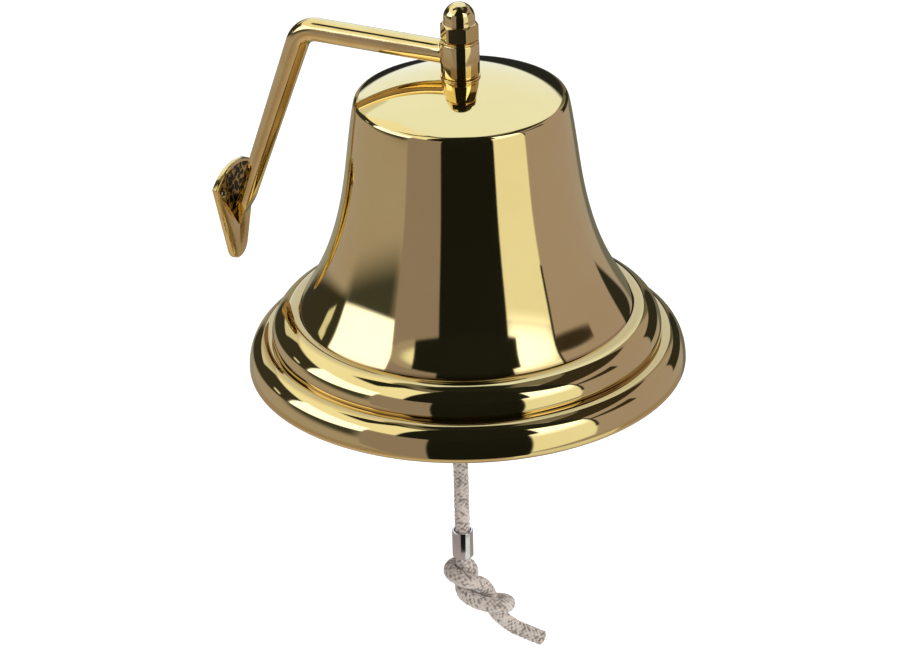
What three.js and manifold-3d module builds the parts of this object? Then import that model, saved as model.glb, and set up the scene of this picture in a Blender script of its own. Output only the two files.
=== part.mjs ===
// Wall-hung brass ship bell with its bracket, clapper and lanyard. Millimetres, +Z up.
// The origin is on the back face of the wall plate, +X points from the wall to the bell,
// and the bell hangs on a vertical axis at x = bellReach.
// Inside the bell's group heights are measured up from the mouth of the bell.

import * as THREE from 'three';
import { mergeVertices } from 'three/addons/utils/BufferGeometryUtils.js';
import { ConvexGeometry } from 'three/addons/geometries/ConvexGeometry.js';
import Module from 'manifold-3d';

const wasm = await Module();
wasm.setup();

// ---------------------------------------------------------------- driving dimensions

const bellReach = 127;            // wall to bell axis
const mouthDrop = 58;             // mouth of the bell below the origin

const bell = {
  seatHeight: 151.2,              // flat in the middle of the domed crown
  seatRadius: 10.5,
  crownWall: 4,
  rim: [48.9, 141.6],             // edge of the dome: radius, height
  shoulder: [50.8, 138.2],
  waist: [56.34, 100],
  innerSeatRadius: 16,            // flat under the crown
  springing: 43.5,                // radius where the inner dome meets the wall
  upperGroove: [80.3, 34.2],
  lowerGroove: [93.3, 19.5],
  lip: [105, 5],
  mouthRadius: 91,
};

const plate = {
  thickness: 3,
  halfWidth: 19.3,
  shoulderHeight: 19.3,
  crest: 27.3,
  tip: -24,
  tipRadius: 8,
  pocketDepth: 0.8,
  pocketInset: 2,                 // rim left round the pocket
  pocketApex: -6.6,
  screwHole: 2.1,                 // radius
  screwSpread: 11.6,              // each hole from the middle
  screwHeight: 14.5,
};

const bar = {
  height: 104.2,                  // arm's centre line
  elbowX: 43.4,                   // where arm and leg would meet without the bend
  bendRadius: 12,
  legSlope: THREE.MathUtils.degToRad(20.5),
  armRadius: 5.65,
  kneeRadius: 4.5,
  kneeHeight: 14.5,               // the foot is forged to a point below here
};

const eye = { radius: 9.1, bottom: 152.15, top: 169, chamfer: 0.8 };
const runningGap = 0.15;          // bell stack to bracket eye
const thread = 5;                 // M10 stud radius
const threadHole = 5.3;
const hexFlats = 16;              // across flats, M10
const capNutSize = { hexHeight: 8.05, domeRadius: 7.5, domeBase: 10.55, turn: 17.2, bore: 13 };
const washerSize = { nut: 0.9, fibre: 1.5, inner: 1.6 };  // thicknesses
const lockNutHeight = 6;

const pivotHeight = 110;          // clapper pin above the mouth
const clapper = {
  pinRadius: 2.5,
  eyeRadius: 6,
  eyeThickness: 5.6,
  rodRadius: 3.75,
  ballDrop: 116,                  // ball centre below the pin
  ballRadius: 17,
  flatRadius: 5.6,                // flats at the top and bottom of the ball
  screwDepth: 6.5,                // end of each tapped hole, from the ball's centre
  lugThickness: 2.5,
  lugRadius: 7.5,
  lugDrop: 142,                   // cord hole below the pin
  lugHole: 4.2,
};

const cord = {
  radius: 3.8,
  slack: 0.3,                     // cord to the lug's side
  ferruleTop: 60,                 // below the cord hole
  ferruleLength: 14.5,
  ferruleRadius: 5.2,
  ferruleBore: 4.1,
};
const knot = {
  turn: THREE.MathUtils.degToRad(27.75),
  dip: THREE.MathUtils.degToRad(42),
  halfLength: 18.5,
  halfWidth: 7.8,
  centre: [8.4, -12.3],           // sideways and up from the bend point
  tail: [[14, -24], [20, -33], [30, -38.5], [39, -43.5]],
  tailRadius: 3.5,
};

// ---------------------------------------------------------------- solids

const X = new THREE.Vector3(1, 0, 0);
const Y = new THREE.Vector3(0, 1, 0);
const Z = new THREE.Vector3(0, 0, 1);
const layAlongX = new THREE.Matrix4().makeBasis(Y, Z, X);  // what stood up along z lies along x

// One closed surface with shared corners, no slivers, and its faces outward.
function weld(source) {
  const bare = source.clone();
  bare.deleteAttribute('normal');
  bare.deleteAttribute('uv');
  const merged = mergeVertices(bare, 1e-4);
  const corners = merged.index.array;
  const position = merged.attributes.position;
  const kept = [];
  const [a, b, c] = [new THREE.Vector3(), new THREE.Vector3(), new THREE.Vector3()];
  let volume = 0;
  for (let i = 0; i < corners.length; i += 3) {
    const [p, q, r] = corners.slice(i, i + 3);
    if (p === q || q === r || r === p) continue;
    kept.push([p, q, r]);
    a.fromBufferAttribute(position, p);
    b.fromBufferAttribute(position, q);
    c.fromBufferAttribute(position, r);
    volume += a.dot(b.cross(c));
  }
  if (volume < 0) kept.forEach((corner) => corner.reverse());
  merged.setIndex(kept.flat());
  return merged;
}

function solid(geometry) {
  const { attributes, index } = weld(geometry);
  const vertProperties = Float32Array.from(attributes.position.array);
  const triVerts = Uint32Array.from(index.array);
  return new wasm.Manifold(new wasm.Mesh({ numProp: 3, vertProperties, triVerts }));
}

function geometryOf(body) {
  const { vertProperties, triVerts } = body.getMesh();
  const geometry = new THREE.BufferGeometry();
  geometry.setAttribute('position', new THREE.BufferAttribute(vertProperties, 3));
  geometry.setIndex(new THREE.BufferAttribute(triVerts, 1));
  return geometry;
}

// A closed outline of [radius, height] corners, turned about z.
function turned(outline, sides = 28) {
  const points = outline.map(([radius, height]) => new THREE.Vector2(radius, height));
  return new THREE.LatheGeometry([...points, points[0]], sides).rotateX(Math.PI / 2);
}

function tube(outer, inner, bottom, top, chamfer = 0.4, sides = 28) {
  return turned([
    [inner, bottom], [outer - chamfer, bottom], [outer, bottom + chamfer],
    [outer, top - chamfer], [outer - chamfer, top], [inner, top],
  ], sides);
}

function rod(radius, bottom, top, sides = 24) {
  const middle = (bottom + top) / 2;
  return new THREE.CylinderGeometry(radius, radius, top - bottom, sides)
    .rotateX(Math.PI / 2)
    .translate(0, 0, middle);
}

const rodAlongX = (radius, from, to, sides = 24) => rod(radius, from, to, sides).rotateY(Math.PI / 2);

function block([x0, y0, z0], [x1, y1, z1]) {
  return new THREE.BoxGeometry(x1 - x0, y1 - y0, z1 - z0)
    .translate((x0 + x1) / 2, (y0 + y1) / 2, (z0 + z1) / 2);
}

function hexPrism(flats, bottom, top) {
  const corner = flats / Math.sqrt(3);
  return rod(corner, bottom, top, 6);
}

// A hex nut's body: the prism's corners are turned off at the faces that need it.
function hexBody(flats, bottom, top, chamferBottom = true) {
  const corner = flats / Math.sqrt(3) + 0.01;
  const rim = flats / 2 - 0.2;
  const cut = (corner - rim) * Math.tan(Math.PI / 6);
  const low = chamferBottom ? [[rim, bottom], [corner, bottom + cut]] : [[corner, bottom]];
  const envelope = turned([[0, bottom], ...low, [corner, top - cut], [rim, top], [0, top]]);
  return solid(hexPrism(flats, bottom, top)).intersect(solid(envelope));
}

// A cord of one radius along a curve.
function corded(curve, radius, steps, sides = 16) {
  const section = new THREE.Shape().absarc(0, 0, radius, 0, 2 * Math.PI, false);
  return new THREE.ExtrudeGeometry(section, {
    steps,
    extrudePath: curve,
    curveSegments: sides / 2,
    bevelEnabled: false,
  });
}

// A round bar whose centre line lies in the plane y = 0; stations are { point, radius }.
function taperedBar(stations, sides = 20) {
  const positions = [];
  const index = [];
  stations.forEach(({ point, radius }, i) => {
    const before = stations[Math.max(i - 1, 0)].point;
    const after = stations[Math.min(i + 1, stations.length - 1)].point;
    const along = after.clone().sub(before).normalize();
    for (let k = 0; k < sides; k += 1) {
      const angle = (2 * Math.PI * k) / sides;
      const across = radius * Math.cos(angle);
      positions.push(point.x - across * along.y, radius * Math.sin(angle), point.y + across * along.x);
    }
  });
  const ring = (i, k) => i * sides + (k % sides);
  for (let i = 0; i + 1 < stations.length; i += 1) {
    for (let k = 0; k < sides; k += 1) {
      index.push(ring(i, k), ring(i, k + 1), ring(i + 1, k));
      index.push(ring(i, k + 1), ring(i + 1, k + 1), ring(i + 1, k));
    }
  }
  const last = stations.length - 1;
  for (let k = 1; k + 1 < sides; k += 1) {
    index.push(ring(0, 0), ring(0, k + 1), ring(0, k));
    index.push(ring(last, 0), ring(last, k), ring(last, k + 1));
  }
  const geometry = new THREE.BufferGeometry();
  geometry.setAttribute('position', new THREE.Float32BufferAttribute(positions, 3));
  geometry.setIndex(index);
  return geometry;
}

// ---------------------------------------------------------------- bracket

// The arc over the top of the wall plate, through both shoulders and the crest.
function crestArc(shape, halfWidth, shoulder, crest) {
  const rise = crest - shoulder;
  const radius = (halfWidth ** 2 + rise ** 2) / (2 * rise);
  const half = Math.asin(halfWidth / radius);
  return shape.absarc(0, crest - radius, radius, Math.PI / 2 - half, Math.PI / 2 + half, false);
}

function wallPlate() {
  const outline = crestArc(new THREE.Shape(), plate.halfWidth, plate.shoulderHeight, plate.crest);
  const tipCentre = plate.tip + plate.tipRadius;
  const reach = Math.hypot(plate.halfWidth, plate.shoulderHeight - tipCentre);
  const bearing = Math.atan2(plate.shoulderHeight - tipCentre, plate.halfWidth);
  const tangent = bearing - Math.acos(plate.tipRadius / reach);
  outline.absarc(0, tipCentre, plate.tipRadius, Math.PI - tangent, 2 * Math.PI + tangent, false);
  const slab = new THREE.ExtrudeGeometry(outline, {
    depth: plate.thickness, curveSegments: 14, bevelEnabled: false,
  }).applyMatrix4(layAlongX);

  const floor = plate.thickness - plate.pocketDepth;
  const pocketHalf = plate.halfWidth - plate.pocketInset;
  const pocketTop = plate.crest - plate.pocketInset * 0.9;
  const pocketShoulder = plate.shoulderHeight - 0.6;
  const pocket = crestArc(new THREE.Shape(), pocketHalf, pocketShoulder, pocketTop);
  pocket.lineTo(0, plate.pocketApex);
  const recess = new THREE.ExtrudeGeometry(pocket, { depth: 5, curveSegments: 14, bevelEnabled: false })
    .applyMatrix4(layAlongX)
    .translate(floor, 0, 0);

  let body = solid(slab).subtract(solid(recess));
  for (const side of [-1, 1]) {
    const hole = rodAlongX(plate.screwHole, -1, plate.thickness + 1, 20);
    hole.translate(0, side * plate.screwSpread, plate.screwHeight);
    body = body.subtract(solid(hole));
  }
  return geometryOf(body);
}

// Arm, elbow and leg in one bent bar; its foot narrows to the point of the plate's pocket.
function bracketBar() {
  const floor = plate.thickness - plate.pocketDepth;
  const armEnd = bellReach - eye.radius + 1.2;
  const turn = Math.PI / 2 - bar.legSlope;
  const run = bar.bendRadius * Math.tan(turn / 2);
  const bend = new THREE.Vector2(bar.elbowX + run, bar.height - bar.bendRadius);
  const down = new THREE.Vector2(-Math.sin(bar.legSlope), -Math.cos(bar.legSlope));
  const corner = new THREE.Vector2(bar.elbowX, bar.height);
  const legAt = (height) => corner.clone().addScaledVector(down, (height - bar.height) / down.y);

  const stations = [{ point: new THREE.Vector2(armEnd, bar.height), radius: bar.armRadius }];
  const bendSteps = 7;
  for (let i = 0; i <= bendSteps; i += 1) {
    const angle = Math.PI / 2 + (turn * i) / bendSteps;
    const offset = new THREE.Vector2(Math.cos(angle), Math.sin(angle)).multiplyScalar(bar.bendRadius);
    stations.push({ point: bend.clone().add(offset), radius: bar.armRadius });
  }
  stations.push({ point: legAt(bar.kneeHeight), radius: bar.kneeRadius });
  stations.push({ point: legAt(plate.tip), radius: bar.kneeRadius });

  const front = legAt(bar.kneeHeight).x + bar.kneeRadius + 1;
  const wide = bar.armRadius + 1;
  const point = plate.pocketApex + 1.6;
  const base = [bar.kneeHeight, bar.kneeHeight + 2].flatMap((height) => [
    new THREE.Vector3(floor, -wide, height),
    new THREE.Vector3(floor, wide, height),
    new THREE.Vector3(front, -wide, height),
    new THREE.Vector3(front, wide, height),
  ]);
  const pointed = new ConvexGeometry([
    new THREE.Vector3(floor, -0.6, point),
    new THREE.Vector3(floor, 0.6, point),
    new THREE.Vector3(floor + 0.8, 0, point),
    ...base,
  ]);
  const above = block([floor, -20, bar.kneeHeight], [bellReach, 20, bar.height + 20]);
  const envelope = solid(pointed).add(solid(above));
  const eyeSeat = rod(eye.radius + 0.15, 60, 140, 28).translate(bellReach, 0, 0);
  const body = solid(taperedBar(stations)).intersect(envelope).subtract(solid(eyeSeat));
  return geometryOf(body);
}

// ---------------------------------------------------------------- bell and its stack

const inside = bell.seatHeight - bell.crownWall - 0.6;    // height of the flat under the crown
const fibreBottom = inside - washerSize.fibre;
const innerWasherBottom = fibreBottom - washerSize.inner;
const lockNutBottom = innerWasherBottom - lockNutHeight;
const seatWasherTop = eye.bottom - runningGap;
const nutWasherBottom = eye.top + runningGap;
const nutBottom = nutWasherBottom + washerSize.nut;

// Centre height and radius of the dome through the seat's edge and the rim.
function crownDome() {
  const [rimRadius, rimHeight] = bell.rim;
  const seat = bell.seatRadius ** 2 + bell.seatHeight ** 2;
  const centre = (rimRadius ** 2 + rimHeight ** 2 - seat) / (2 * (rimHeight - bell.seatHeight));
  return { centre, radius: Math.hypot(rimRadius, rimHeight - centre) };
}

// Half section of the bell; each curve between two corners leans on its control points.
function bellShell() {
  const { seatHeight, seatRadius, crownWall, rim, shoulder, waist, innerSeatRadius, springing } = bell;
  const { upperGroove, lowerGroove, lip, mouthRadius } = bell;
  const dome = crownDome();
  const inner = dome.radius - crownWall;
  const onDome = (across, radius) => Math.acos(across / radius);
  const section = new THREE.Path();
  const outerSeat = onDome(seatRadius, dome.radius);
  section.moveTo(threadHole, seatHeight);
  section.lineTo(seatRadius, seatHeight);
  section.absarc(0, dome.centre, dome.radius, outerSeat, onDome(rim[0], dome.radius), true);
  section.bezierCurveTo(49.9, 141.1, 50.5, 139.8, ...shoulder);
  section.bezierCurveTo(52.9, 127.7, 54.7, 110.6, ...waist);
  section.bezierCurveTo(62.92, 57.8, 75.74, 44.4, ...upperGroove);
  section.bezierCurveTo(88.5, 34.5, 94.5, 27, ...lowerGroove);
  section.bezierCurveTo(101, 20.5, 105, 13, ...lip);
  section.absellipse(mouthRadius, lip[1], lip[0] - mouthRadius, lip[1], 0, -Math.PI / 2, true);
  section.bezierCurveTo(90.2, 6, 88, 15, 85, 20);
  section.bezierCurveTo(82, 25, 79, 28.5, 75.6, 34.2);
  section.bezierCurveTo(70.2, 46.2, 52, 64.2, 47.2, 133);
  section.lineTo(springing, dome.centre + Math.sqrt(inner ** 2 - springing ** 2));
  section.absarc(0, dome.centre, inner, onDome(springing, inner), onDome(innerSeatRadius, inner), false);
  section.lineTo(innerSeatRadius, inside);
  section.lineTo(threadHole, inside);
  const points = section.getPoints(5);
  return new THREE.LatheGeometry([...points, points[0]], 44).rotateX(Math.PI / 2);
}

function bracketEye() {
  const { radius, bottom, top, chamfer } = eye;
  const blend = 2;
  return turned([
    [threadHole, bottom], [radius - chamfer, bottom], [radius - 0.2, bottom + 0.6], [radius, bottom + blend],
    [radius, top - blend], [radius - 0.2, top - 0.6], [radius - chamfer, top], [threadHole, top],
  ]);
}

function capNut() {
  const { hexHeight, domeRadius, bore } = capNutSize;
  const domeBase = nutBottom + capNutSize.domeBase;
  const dome = new THREE.Path();
  dome.moveTo(0, nutBottom + 1);
  dome.lineTo(domeRadius, nutBottom + 1);
  dome.lineTo(domeRadius, domeBase);
  dome.absarc(0, domeBase, domeRadius, 0, Math.PI / 2, false);
  const domed = new THREE.LatheGeometry(dome.getPoints(4), 28).rotateX(Math.PI / 2);
  const hole = rod(threadHole, nutBottom - 1, nutBottom + bore, 28);
  const body = hexBody(hexFlats, nutBottom, nutBottom + hexHeight, false)
    .add(solid(domed))
    .subtract(solid(hole));
  return geometryOf(body);
}

function lockNut(flats, hole, bottom, top) {
  const bore = rod(hole, bottom - 1, top + 1, 28);
  return geometryOf(hexBody(flats, bottom, top).subtract(solid(bore)));
}

// M10 stud with a forged fork at its lower end, which holds the clapper's pin.
const fork = { halfWidth: 7.5, halfDepth: 6, slot: 3.2, bridge: 9.5, height: 17 };
function suspensionStud() {
  const shank = rod(thread, pivotHeight + fork.bridge, nutBottom + capNutSize.bore - 1, 28);
  const cheeks = block(
    [-fork.halfWidth, -fork.halfDepth, pivotHeight],
    [fork.halfWidth, fork.halfDepth, pivotHeight + fork.height],
  );
  const ends = rodAlongX(fork.halfDepth, -fork.halfWidth, fork.halfWidth)
    .translate(0, 0, pivotHeight);
  const slot = block([-fork.slot, -20, pivotHeight - 20], [fork.slot, 20, pivotHeight + fork.bridge]);
  const hole = rodAlongX(clapper.pinRadius + 0.15, -20, 20).translate(0, 0, pivotHeight);
  const body = solid(cheeks).add(solid(ends)).add(solid(shank)).subtract(solid(slot)).subtract(solid(hole));
  return geometryOf(body);
}

const splitPinX = fork.halfWidth + 1.6;
function clapperPin() {
  const head = fork.halfWidth + 0.2;
  const end = splitPinX + 1.9;
  const { pinRadius } = clapper;
  const body = turned([
    [0, -head - 1.8], [pinRadius + 1.4, -head - 1.8], [pinRadius + 1.4, -head],
    [pinRadius, -head], [pinRadius, end - 0.5], [pinRadius - 0.5, end], [0, end],
  ], 24).applyMatrix4(layAlongX);
  const crossHole = rod(0.85, -10, 10, 12).translate(splitPinX, 0, 0);
  return geometryOf(solid(body).subtract(solid(crossHole)));
}

function splitPin() {
  const along = new THREE.CatmullRomCurve3([
    new THREE.Vector3(0, 2.2, -4.6), new THREE.Vector3(0, 0.4, -3.6), new THREE.Vector3(0, 0, -2.4),
    new THREE.Vector3(0, 0, 2.4), new THREE.Vector3(0, 0.5, 3.7), new THREE.Vector3(0, 1.9, 5.1),
    new THREE.Vector3(0, 1.2, 7), new THREE.Vector3(0, -0.8, 6.9), new THREE.Vector3(0, -1.9, 5.2),
  ]);
  return corded(along, 0.6, 22, 8);
}

// ---------------------------------------------------------------- clapper, hung from its pin

const ballFlat = Math.sqrt(clapper.ballRadius ** 2 - clapper.flatRadius ** 2);

function clapperRod() {
  const { eyeRadius, eyeThickness, rodRadius, ballDrop, screwDepth, pinRadius } = clapper;
  const half = eyeThickness / 2;
  const ring = rodAlongX(eyeRadius, -half, half);
  const tongue = block([-half, -rodRadius, -2 * eyeRadius], [half, rodRadius, 0]);
  const shank = rod(rodRadius, screwDepth + 0.5 - ballDrop, -1.5 * eyeRadius);
  const hole = rodAlongX(pinRadius + 0.1, -10, 10);
  const body = solid(ring).add(solid(tongue)).add(solid(shank)).subtract(solid(hole));
  return geometryOf(body);
}

function clapperBall() {
  const { ballRadius, rodRadius, flatRadius, screwDepth } = clapper;
  const bore = rodRadius + 0.2;
  const edge = Math.acos(flatRadius / ballRadius);
  const section = new THREE.Path();
  section.moveTo(0, -screwDepth);
  section.lineTo(bore, -screwDepth);
  section.lineTo(bore, -ballFlat);
  section.absarc(0, 0, ballRadius, -edge, edge, false);
  section.lineTo(bore, ballFlat);
  section.lineTo(bore, screwDepth);
  section.lineTo(0, screwDepth);
  return new THREE.LatheGeometry(section.getPoints(7), 28).rotateX(Math.PI / 2);
}

// Eye screwed into the underside of the ball; the lanyard passes through its hole.
function tailEye() {
  const { ballDrop, lugDrop, lugRadius, lugThickness, lugHole, rodRadius, flatRadius, screwDepth } = clapper;
  const below = lugDrop - ballDrop;
  const half = lugThickness / 2;
  const screw = rod(rodRadius, -ballFlat - 3.4, -screwDepth - 0.7);
  const collar = rod(flatRadius - 0.2, -ballFlat - 2, -ballFlat);
  const strap = block([-half, -lugRadius, -below], [half, lugRadius, -ballFlat - 1]);
  const round = rodAlongX(lugRadius, -half, half, 32).translate(0, 0, -below);
  const hole = rodAlongX(lugHole, -10, 10).translate(0, 0, -below);
  const body = solid(screw).add(solid(collar)).add(solid(strap)).add(solid(round)).subtract(solid(hole));
  return geometryOf(body);
}

// ---------------------------------------------------------------- lanyard, hung in the tail eye

const cordX = -(clapper.lugThickness / 2 + cord.slack + cord.radius);
const bendDrop = cord.ferruleTop + cord.ferruleLength + cord.radius + 0.3;

// From the stopper knot through the eye, over its edge and down through the ferrule.
function lanyard() {
  const turn = 4;
  const knotSize = { halfLength: 6.4, radius: 8 };
  const path = new THREE.CurvePath();
  const over = new THREE.Vector3(cordX + turn, 0, 0);
  const hang = new THREE.Vector3(cordX, 0, -turn);
  path.add(new THREE.LineCurve3(new THREE.Vector3(knotSize.halfLength - 1.4, 0, 0), over));
  path.add(new THREE.QuadraticBezierCurve3(over, new THREE.Vector3(cordX, 0, 0), hang));
  const foot = new THREE.Vector3(cordX, 0, -(cord.ferruleTop + cord.ferruleLength));
  path.add(new THREE.LineCurve3(hang, foot));
  const stopper = new THREE.SphereGeometry(1, 18, 10)
    .scale(knotSize.halfLength, knotSize.radius, knotSize.radius)
    .translate(clapper.lugThickness / 2 + cord.slack + knotSize.halfLength, 0, 0);
  return geometryOf(solid(corded(path, cord.radius, 20)).add(solid(stopper)));
}

function ferrule() {
  const { ferruleRadius, ferruleBore, ferruleTop, ferruleLength } = cord;
  return tube(ferruleRadius, ferruleBore, -(ferruleTop + ferruleLength), -ferruleTop, 0.5);
}

// The figure-eight knot and free tail below the ferrule, turned about the bend point.
function endKnot() {
  const lump = new THREE.SphereGeometry(1, 20, 12)
    .scale(knot.halfLength, knot.halfWidth, knot.halfWidth)
    .rotateY(knot.dip)
    .translate(knot.centre[0], 0, knot.centre[1]);
  const bend = new THREE.SphereGeometry(cord.radius, 16, 10);
  const tail = new THREE.CatmullRomCurve3(knot.tail.map(([side, up]) => new THREE.Vector3(side, 0, up)));
  const body = solid(lump).add(solid(bend)).add(solid(corded(tail, knot.tailRadius, 6)));
  return geometryOf(body);
}

// ---------------------------------------------------------------- scene graph

const finish = {
  brass: { color: 0xd9b25a, roughness: 0.12, metalness: 1 },
  castBrass: { color: 0xc49a45, roughness: 0.3, metalness: 1 },
  steel: { color: 0xb9bcc0, roughness: 0.3, metalness: 1 },
  chrome: { color: 0xe2e2e4, roughness: 0.08, metalness: 1 },
  fibre: { color: 0x6b4630, roughness: 0.9, metalness: 0 },
  cord: { color: 0xd8cfc2, roughness: 0.95, metalness: 0 },
};

function piece(name, geometry, look) {
  const mesh = new THREE.Mesh(weld(geometry), new THREE.MeshStandardMaterial(finish[look]));
  mesh.name = name;
  return mesh;
}

function assembly(x, y, z, ...children) {
  const group = new THREE.Group();
  group.position.set(x, y, z);
  group.add(...children);
  return group;
}

const pin = assembly(0, 0, pivotHeight, piece('clapper_pin', clapperPin(), 'steel'),
  assembly(splitPinX, 0, 0, piece('pin_split_pin', splitPin(), 'steel')));

const cordEnd = assembly(cordX, 0, -bendDrop, piece('cord_end_knot', endKnot(), 'cord'));
cordEnd.rotation.z = knot.turn;

const hangingCord = assembly(0, 0, -clapper.lugDrop,
  piece('cord', lanyard(), 'cord'),
  assembly(cordX, 0, 0, piece('cord_ferrule', ferrule(), 'chrome')),
  cordEnd);

const ballNut = lockNut(13, clapper.rodRadius + 0.2, 0, 5);
const swinging = assembly(0, 0, pivotHeight,
  piece('clapper_rod', clapperRod(), 'brass'),
  assembly(0, 0, -clapper.ballDrop,
    piece('clapper_ball', clapperBall(), 'brass'),
    assembly(0, 0, ballFlat, piece('ball_lock_nut', ballNut, 'brass')),
    piece('clapper_tail_eye', tailEye(), 'brass')),
  hangingCord);

const capNutPiece = piece('cap_nut', capNut(), 'brass');
capNutPiece.rotation.z = THREE.MathUtils.degToRad(capNutSize.turn);

const bellAssembly = assembly(bellReach, 0, -mouthDrop,
  piece('bell_shell', bellShell(), 'brass'),
  piece('suspension_stud', suspensionStud(), 'steel'),
  capNutPiece,
  piece('cap_nut_washer', tube(eye.radius, threadHole, nutWasherBottom, nutBottom, 0.2), 'brass'),
  piece('seat_washer', tube(9.4, threadHole, bell.seatHeight, seatWasherTop, 0.2), 'brass'),
  piece('crown_fibre_washer', tube(13, threadHole, fibreBottom, inside, 0.2), 'fibre'),
  piece('crown_inner_washer', tube(11, threadHole, innerWasherBottom, fibreBottom, 0.2), 'steel'),
  piece('stud_lock_nut', lockNut(hexFlats, threadHole, lockNutBottom, innerWasherBottom), 'steel'),
  pin,
  swinging);

const bracket = assembly(0, 0, 0,
  piece('wall_plate', wallPlate(), 'castBrass'),
  piece('bracket_bar', bracketBar(), 'brass'),
  assembly(bellReach, 0, -mouthDrop, piece('bracket_eye', bracketEye(), 'brass')));

export default assembly(0, 0, 0, bracket, bellAssembly);
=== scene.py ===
"""A wall-hung brass ship bell: fine surfaces, materials and studio, built round the CAD frame.

Lengths are millimetres in the part's own frame; a mesh is scaled to metres when it is made.
"""
import math

import bmesh
import bpy
import numpy as np
from mathutils import Matrix, Vector


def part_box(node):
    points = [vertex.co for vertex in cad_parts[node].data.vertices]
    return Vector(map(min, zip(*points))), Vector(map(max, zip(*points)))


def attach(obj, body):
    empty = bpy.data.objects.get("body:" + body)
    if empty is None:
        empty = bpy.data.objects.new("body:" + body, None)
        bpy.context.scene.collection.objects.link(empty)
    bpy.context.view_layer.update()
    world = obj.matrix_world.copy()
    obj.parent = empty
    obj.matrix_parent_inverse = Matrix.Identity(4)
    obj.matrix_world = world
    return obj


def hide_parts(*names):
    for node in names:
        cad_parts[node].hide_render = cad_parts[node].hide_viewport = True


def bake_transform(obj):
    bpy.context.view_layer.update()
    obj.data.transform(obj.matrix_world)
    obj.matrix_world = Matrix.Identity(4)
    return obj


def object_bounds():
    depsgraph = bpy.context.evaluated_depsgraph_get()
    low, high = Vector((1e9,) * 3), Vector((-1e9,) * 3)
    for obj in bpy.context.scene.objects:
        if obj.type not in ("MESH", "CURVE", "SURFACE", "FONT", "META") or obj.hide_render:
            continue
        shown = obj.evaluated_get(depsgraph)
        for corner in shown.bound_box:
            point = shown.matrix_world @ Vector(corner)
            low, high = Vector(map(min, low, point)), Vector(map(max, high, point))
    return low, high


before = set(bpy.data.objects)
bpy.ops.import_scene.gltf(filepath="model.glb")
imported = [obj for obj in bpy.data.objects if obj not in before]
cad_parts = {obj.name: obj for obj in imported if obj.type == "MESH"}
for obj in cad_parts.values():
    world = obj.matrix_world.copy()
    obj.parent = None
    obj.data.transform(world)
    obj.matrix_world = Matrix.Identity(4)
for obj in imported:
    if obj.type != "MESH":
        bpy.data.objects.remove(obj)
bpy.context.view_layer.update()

# ---- places taken from the frame

MM = 0.001


def box_mm(node):
    """The lowest and highest corner of a CAD node, in millimetres."""
    low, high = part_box(node)
    return low / MM, high / MM


shell_low, shell_high = box_mm("bell_shell")
eye_low, eye_high = box_mm("bracket_eye")
nut_low, nut_high = box_mm("cap_nut")
plate_low, plate_high = box_mm("wall_plate")
bar_high = box_mm("bracket_bar")[1]
ball_low, ball_high = box_mm("clapper_ball")
ferrule_low, ferrule_high = box_mm("cord_ferrule")

AXIS_X = (shell_low.x + shell_high.x) / 2      # the bell's axis stands at (AXIS_X, 0)
MOUTH = shell_low.z                            # height of the bell's mouth
LIP = (shell_high.x - shell_low.x) / 2         # widest radius
SEAT = shell_high.z - MOUTH                    # flat seat on top of the crown, above the mouth
CORD_X = (ferrule_low.x + ferrule_high.x) / 2  # the cord hangs beside the tail eye

THREAD_HOLE = 5.3                              # radius of the holes round the M10 stud
VIEW_TURN = math.radians(27.75)                # the camera's azimuth
VIEW_DIP = math.radians(27.13)                 # its elevation seen from the mouth
PIN_HEIGHT = 110.0                             # clapper pin above the mouth
TAIL_EYE_DROP = 142.0                          # from the pin down to the tail eye's hole
EYE_HOLE = PIN_HEIGHT - TAIL_EYE_DROP + MOUTH


# ---- curves

def bezier(start, handle_a, handle_b, end, steps):
    """Points of a cubic curve, without its first point."""
    a, b, c, d = (np.array(p, float) for p in (start, handle_a, handle_b, end))
    t = np.linspace(0, 1, steps + 1)[1:, None]
    curve = (1 - t) ** 3 * a + 3 * (1 - t) ** 2 * t * b + 3 * (1 - t) * t ** 2 * c + t ** 3 * d
    return [tuple(p) for p in curve]


def arc(centre, radii, start, end, steps):
    """Points of an elliptic arc between two angles in degrees, both ends included."""
    angles = np.radians(np.linspace(start, end, steps + 1))
    return [(centre[0] + radii[0] * math.cos(a), centre[1] + radii[1] * math.sin(a))
            for a in angles]


def dome(inner, outer, steps):
    """A spherical cap's section between two (radius, height) points, without the first."""
    (r0, z0), (r1, z1) = inner, outer
    centre = (r1 ** 2 + z1 ** 2 - r0 ** 2 - z0 ** 2) / (2 * (z1 - z0))
    radius = math.hypot(r1, z1 - centre)
    angles = np.linspace(math.asin(r0 / radius), math.asin(r1 / radius), steps + 1)[1:]
    return [(radius * math.sin(a), centre + radius * math.cos(a)) for a in angles]


def rounded(outline, radius, steps=4):
    """A closed outline with every corner replaced by a small curve."""
    result = []
    count = len(outline)
    for i, corner in enumerate(outline):
        here = np.array(corner, float)
        before = np.array(outline[i - 1], float) - here
        after = np.array(outline[(i + 1) % count], float) - here
        reach = min(radius, np.linalg.norm(before) / 2, np.linalg.norm(after) / 2)
        a = here + before / np.linalg.norm(before) * reach
        b = here + after / np.linalg.norm(after) * reach
        result.append(tuple(a))
        result.extend(bezier(a, here * 0.6 + a * 0.4, here * 0.6 + b * 0.4, b, steps))
    return result


# ---- mesh making

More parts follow.
